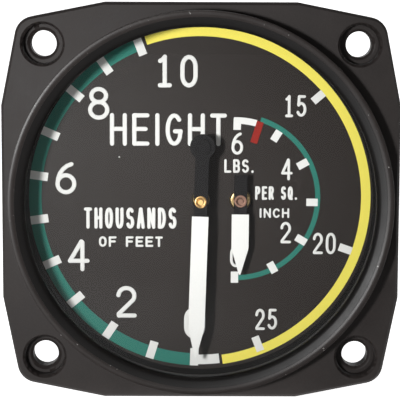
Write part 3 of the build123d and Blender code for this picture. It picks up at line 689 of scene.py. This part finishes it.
# each row: the text, its middle, its width and height, the pen's width, and the gap between letters, in mm
words = {
    "ten": ("10", (-3.5, 19.35), (6.1, 5.0), 0.72, 1.25),
    "eight": ("8", (-15.5, 14.43), (3.3, 5.05), 0.7),
    "six": ("6", (-20.55, 3.0), (3.25, 5.05), 0.7),
    "four": ("4", (-18.67, -8.93), (3.35, 4.95), 0.7),
    "two": ("2", (-11.35, -16.15), (3.15, 5.0), 0.7),
    "zero": ("0", (-0.83, -19.43), (3.3, 5.0), 0.7),
    "fifteen": ("15", (14.44, 14.09), (3.25, 3.4), 0.46, 0.5),
    "twenty": ("20", (19.02, -6.98), (3.55, 3.35), 0.44, 0.42),
    "twentyFive": ("25", (10.2, -18.85), (3.4, 3.35), 0.44, 0.42),
    "smallSix": ("6", (5.58, 8.38), (1.8, 3.45), 0.46),
    "smallFour": ("4", (13.16, 4.44), (1.75, 3.35), 0.44),
    "smallTwo": ("2", (13.08, -5.31), (1.65, 3.35), 0.44),
    "smallZero": ("0", (5.43, -9.06), (1.75, 3.3), 0.44),
    "legendBig": ("HEIGHT", (-4.94, 10.47), (17.8, 5.0), 0.7, 0.75),
    "legendSecond": ("THOUSANDS", (-10.73, -3.14), (14.2, 3.3), 0.55, 0.34),
    "legendThird": ("OF FEET", (-10.66, -6.78), (9.8, 1.65), 0.36, 0.3),
    "smallLegendFirst": ("LBS.", (5.9, 4.92), (4.6, 2.1), 0.38, 0.26),
    "smallLegendSecond": ("PER SQ.", (11.59, 0.79), (6.5, 2.1), 0.38, 0.22),
    "smallLegendThird": ("INCH", (11.3, -2.3), (4.6, 1.5), 0.31, 0.26),
}
printed = [lettering(name, *row) for name, row in words.items()]
placePrint(joined(printed, "whiteLettering"), "white print")
print("letters printed:", sum(len(row[0]) for row in words.values()))

# a fleck of dust on the dial
fleck = {
    "u": -12.4, "v": 6.25, "lift": 0.03 * mm, "radius": 0.11 * mm, "fineness": 3, "rough": 0.2,
    "shape": (1.25, 0.35, 0.8), "seed": 4,
}
clearSelection()
bpy.ops.mesh.primitive_ico_sphere_add(subdivisions=fleck["fineness"], radius=fleck["radius"])
dust = newest("dustFleck")
editAll()
bpy.ops.transform.vertex_random(offset=fleck["rough"] * fleck["radius"], seed=fleck["seed"])
bpy.ops.transform.resize(value=fleck["shape"], center_override=(0, 0, 0))
leaveEdit()
dust.location = dialPoint(fleck["u"], fleck["v"], fleck["lift"])
settle(dust)
bpy.ops.object.shade_smooth()
placePrint(dust, "white print")

# the pipe thread in the static port: one ridge of three sides, partly sunk in the wall, wound along the bore
portThread = {
    "place": (-17.8 * mm, 0, 11.487 * mm), "radius": 4.37 * mm, "start": 51.4 * mm, "pitch": 0.94 * mm,
    "turns": 6, "ridge": 0.4 * mm, "sunk": 0.12 * mm, "steps": 40, "smooth": 30,
}
clearSelection()
bpy.ops.mesh.primitive_circle_add(vertices=3, radius=portThread["ridge"], rotation=(0, 0, math.radians(90)))
thread = newest("portThread")
thread.location = (portThread["radius"] + portThread["sunk"], portThread["start"], 0)
settle(thread)
wind = thread.modifiers.new("wind", "SCREW")
wind.axis = "Y"
wind.screw_offset = portThread["pitch"]
wind.iterations = portThread["turns"]
wind.steps = wind.render_steps = portThread["steps"]
bpy.ops.object.modifier_apply(modifier="wind")
thread.location = portThread["place"]
settle(thread)
editAll()
bpy.ops.mesh.fill_holes(sides=0)
leaveEdit()
tidyShell(thread)
bpy.ops.object.shade_smooth_by_angle(angle=math.radians(portThread["smooth"]))
thread.data.materials.append(materials["case"])
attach(thread, bodyOf["case"])
print("fleck and port thread made")

# the case's wall inside the window gets painted shade, a darker copy of the case finish, and its rim is set
# back to make room for the rounded lip
caseShape = {
    "bore": 26.35 * mm, "boreFront": -5.4 * mm, "boreBack": 50 * mm, "wall": 0.3, "lip": -8.3 * mm,
    "room": 0.45 * mm,
}


def reshapeCase(piece):
    # painted shade: the bore faces take the darker bore finish
    piece.data.materials.append(materials["bore"])
    for face in piece.data.polygons:
        inside = math.hypot(face.center.x, face.center.z) < caseShape["bore"]
        deep = caseShape["boreFront"] < face.center.y < caseShape["boreBack"]
        if inside and deep and abs(face.normal.y) < caseShape["wall"]:
            face.material_index = 1
    choose(piece, "VERT", lambda point: point.y < caseShape["lip"])
    bpy.ops.transform.translate(value=(0, caseShape["room"], 0))
    leaveEdit()


# nodes that show get eased edges, this wide in mm, and smooth turned faces
easedEdges = {
    "case": 0.0, "dial": 0.0, "altitude_pointer": 0.04, "differential_pointer": 0.04,
    "altitude_pointer_bush": 0.03, "differential_pointer_bush": 0.03, "altitude_staff": 0.0,
    "differential_staff": 0.0, "differential_front_bush": 0.03, "case_screws": 0.0,
}
easing = {"segments": 2, "angle": math.radians(30), "flat": math.radians(0.4)}


def softened(node, width):
    piece = bpy.data.objects.new(node + "Finished", nodes[node].data.copy())
    bpy.context.scene.collection.objects.link(piece)
    pick(piece)
    editAll()
    bpy.ops.mesh.remove_doubles(threshold=doubles["cad"])
    bpy.ops.mesh.dissolve_limited(angle_limit=easing["flat"])
    leaveEdit()
    if node == "case":
        reshapeCase(piece)
    if width:
        ease = piece.modifiers.new("ease", "BEVEL")
        ease.width = width * mm
        ease.segments = easing["segments"]
        ease.limit_method = "ANGLE"
        ease.angle_limit = easing["angle"]
        ease.harden_normals = False
        bpy.ops.object.modifier_apply(modifier="ease")
    bpy.ops.object.shade_smooth_by_angle(angle=easing["angle"])
    flatten = piece.modifiers.new("flatFaces", "WEIGHTED_NORMAL")
    flatten.keep_sharp = True
    bpy.ops.object.modifier_apply(modifier="flatFaces")
    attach(piece, bodyOf[node])
    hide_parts(node)


for node, width in easedEdges.items():
    softened(node, width)

# the retaining ring and the rim's lip: a section is drawn once, rounded, and spun round the dial's axis
# the front's inner corner drops back by drop and is rounded by round, its outer one by fall and edge, in mm
rings = {
    "retainingRing": {
        "inner": 26.2, "outer": 27.7, "front": -8.2, "back": -6.9, "drop": 0.55, "round": 0.7,
        "ridge": 0.0, "fall": 0.0, "edge": 0.02, "steps": 144, "finish": "ring", "node": "retaining_ring",
    },
    "rimLip": {
        "inner": 27.71, "outer": 28.7, "front": -8.349, "back": -4.9, "drop": 0.15, "round": 0.0,
        "ridge": 0.26, "fall": 0.06, "edge": 0.08, "steps": 180, "finish": "lip", "node": "case",
    },
}
ringShape = {"near": 0.01 * mm, "segments": 8, "smooth": math.radians(30)}


def turnedRing(name, look):
    inner, outer, front, back = (look[key] * mm for key in ("inner", "outer", "front", "back"))
    piece = section(name, inner, outer, front, back)
    corners = [(inner, look["drop"], look["round"]), (outer, look["fall"], look["edge"])]
    if look["ridge"]:  # the front gets a rounded ridge along its middle
        corners.append(((inner + outer) / 2, 0.0, look["ridge"]))
        choose(piece, "EDGE", lambda point: abs(point.y - front) < ringShape["near"])
        bpy.ops.mesh.subdivide(number_cuts=1)
        leaveEdit()
    for across, drop, width in corners:
        corner = Vector((across, front, 0))
        choose(piece, "VERT", lambda point: (point - corner).length < ringShape["near"])
        bpy.ops.transform.translate(value=(0, drop * mm, 0))
        if width:
            bpy.ops.mesh.bevel(offset=width * mm, segments=ringShape["segments"], affect="VERTICES")
        leaveEdit()
    editAll()
    bpy.ops.mesh.delete(type="ONLY_FACE")  # or it would stay inside the finished ring
    spun(piece, (0, 0, 0), 360, look["steps"])
    bpy.ops.object.shade_smooth_by_angle(angle=ringShape["smooth"])
    piece.data.materials.append(materials[look["finish"]])
    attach(piece, bodyOf[look["node"]])
    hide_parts(look["node"])


for name, look in rings.items():
    turnedRing(name, look)
print("visible pieces finished")

# camera, at the photograph's place: metres and degrees, round the point it looks at
cameraSetup = {
    "aim": (0, -0.005, 0), "distance": 0.2634, "azimuth": -0.27, "elevation": 7.31, "roll": 0.21,
    "lens": 158.2, "sensor": 36.0, "shift": (-0.002, 0.006), "near": 0.01,
}
azimuth, elevation = math.radians(cameraSetup["azimuth"]), math.radians(cameraSetup["elevation"])
level = math.cos(elevation)
away = Vector((math.sin(azimuth) * level, -math.cos(azimuth) * level, math.sin(elevation)))
cameraData = bpy.data.cameras.new("camera")
cameraData.lens = cameraSetup["lens"]
cameraData.sensor_width = cameraSetup["sensor"]
cameraData.shift_x, cameraData.shift_y = cameraSetup["shift"]
cameraData.clip_start = cameraSetup["near"]
camera = bpy.data.objects.new("camera", cameraData)
bpy.context.scene.collection.objects.link(camera)
camera.location = Vector(cameraSetup["aim"]) + away * cameraSetup["distance"]
facing = (-away).to_track_quat("-Z", "Y").to_matrix().to_4x4()
camera.rotation_euler = (facing @ Matrix.Rotation(math.radians(cameraSetup["roll"]), 4, "Z")).to_euler()
bpy.context.scene.camera = camera

# studio: a pale sweep under and behind the object, in metres
sweepSetup = {
    "floor": -0.0299, "front": -1.2, "back": 0.55, "halfWidth": 1.4, "high": 1.3, "bend": 0.25,
    "segments": 16, "near": 0.01,
}
# the paper is white to the camera, and lights the object only from behind the flange's face
paperFinish = {
    "colour": (0.88, 0.88, 0.88), "change": 0.01, "scale": 40, "roughness": 0.9, "roughChange": 0.02,
}
paperGlow = {"from": -0.0085, "full": -0.006, "strength": 0.95, "specular": 0.1}


def atBack(point):
    return point.y > sweepSetup["back"] - sweepSetup["near"]


clearSelection()
bpy.ops.mesh.primitive_plane_add(size=1.0)
sweep = newest("studioSweep")
sweep.scale = (2 * sweepSetup["halfWidth"], sweepSetup["back"] - sweepSetup["front"], 1)
sweep.location = (0, (sweepSetup["front"] + sweepSetup["back"]) / 2, sweepSetup["floor"])
settle(sweep)
choose(sweep, "EDGE", atBack)
bpy.ops.mesh.extrude_region_move(TRANSFORM_OT_translate={"value": (0, 0, sweepSetup["high"])})
leaveEdit()
choose(sweep, "EDGE", lambda point: atBack(point) and point.z < 0)
bpy.ops.mesh.bevel(offset=sweepSetup["bend"], segments=sweepSetup["segments"], affect="EDGES")
leaveEdit()
bpy.ops.object.shade_smooth()
paper, paperTree, paperShader, paperPlace = startMaterial("studio paper", 0.0, paperGlow["specular"])
addGrain(paperTree, paperShader, paperPlace, paperFinish)
glowRamp = paperTree.nodes.new("ShaderNodeMapRange")
glowRamp.inputs["From Min"].default_value = paperGlow["from"]
glowRamp.inputs["From Max"].default_value = paperGlow["full"]
paperPoint = paperTree.nodes.new("ShaderNodeSeparateXYZ")
paperTree.links.new(paperPlace, paperPoint.inputs[0])
paperTree.links.new(paperPoint.outputs["Y"], glowRamp.inputs["Value"])
seenPath = paperTree.nodes.new("ShaderNodeLightPath")
glow = maths(paperTree, "MAXIMUM", glowRamp.outputs["Result"], seenPath.outputs["Is Camera Ray"])
paperTree.links.new(glow, paperShader.inputs["Emission Color"])
paperShader.inputs["Emission Strength"].default_value = paperGlow["strength"]
sweep.data.materials.append(paper)

# one near light, placed from the shadows
keyLight = {
    "place": (-0.079, -0.209, 0.017), "target": (0, 0, 0.004), "size": 0.03, "power": 0.0315, "spread": 45,
}
keyData = bpy.data.lights.new("key", "AREA")
keyData.shape = "DISK"
keyData.size = keyLight["size"]
keyData.energy = keyLight["power"]
keyData.spread = math.radians(keyLight["spread"])
key = bpy.data.objects.new("key", keyData)
bpy.context.scene.collection.objects.link(key)
key.location = keyLight["place"]
key.visible_camera = False
towards = Vector(keyLight["target"]) - Vector(keyLight["place"])
key.rotation_euler = towards.to_track_quat("-Z", "Y").to_euler()

# the room: faint light on the object, and plain white behind it for the camera
room = {"light": 0.14, "seen": 1.0, "colour": (1, 1, 1, 1)}
world = bpy.data.worlds.new("world")
world.use_nodes = True
sky = world.node_tree
faint, plain = sky.nodes["Background"], sky.nodes.new("ShaderNodeBackground")
for backdrop, strength in ((faint, room["light"]), (plain, room["seen"])):
    backdrop.inputs["Color"].default_value = room["colour"]
    backdrop.inputs["Strength"].default_value = strength
path = sky.nodes.new("ShaderNodeLightPath")
either = sky.nodes.new("ShaderNodeMixShader")
sky.links.new(path.outputs["Is Camera Ray"], either.inputs["Fac"])
sky.links.new(faint.outputs["Background"], either.inputs[1])
sky.links.new(plain.outputs["Background"], either.inputs[2])
sky.links.new(either.outputs["Shader"], sky.nodes["World Output"].inputs["Surface"])
bpy.context.scene.world = world
bpy.context.scene.view_settings.view_transform = "Standard"
print("camera and studio ready")
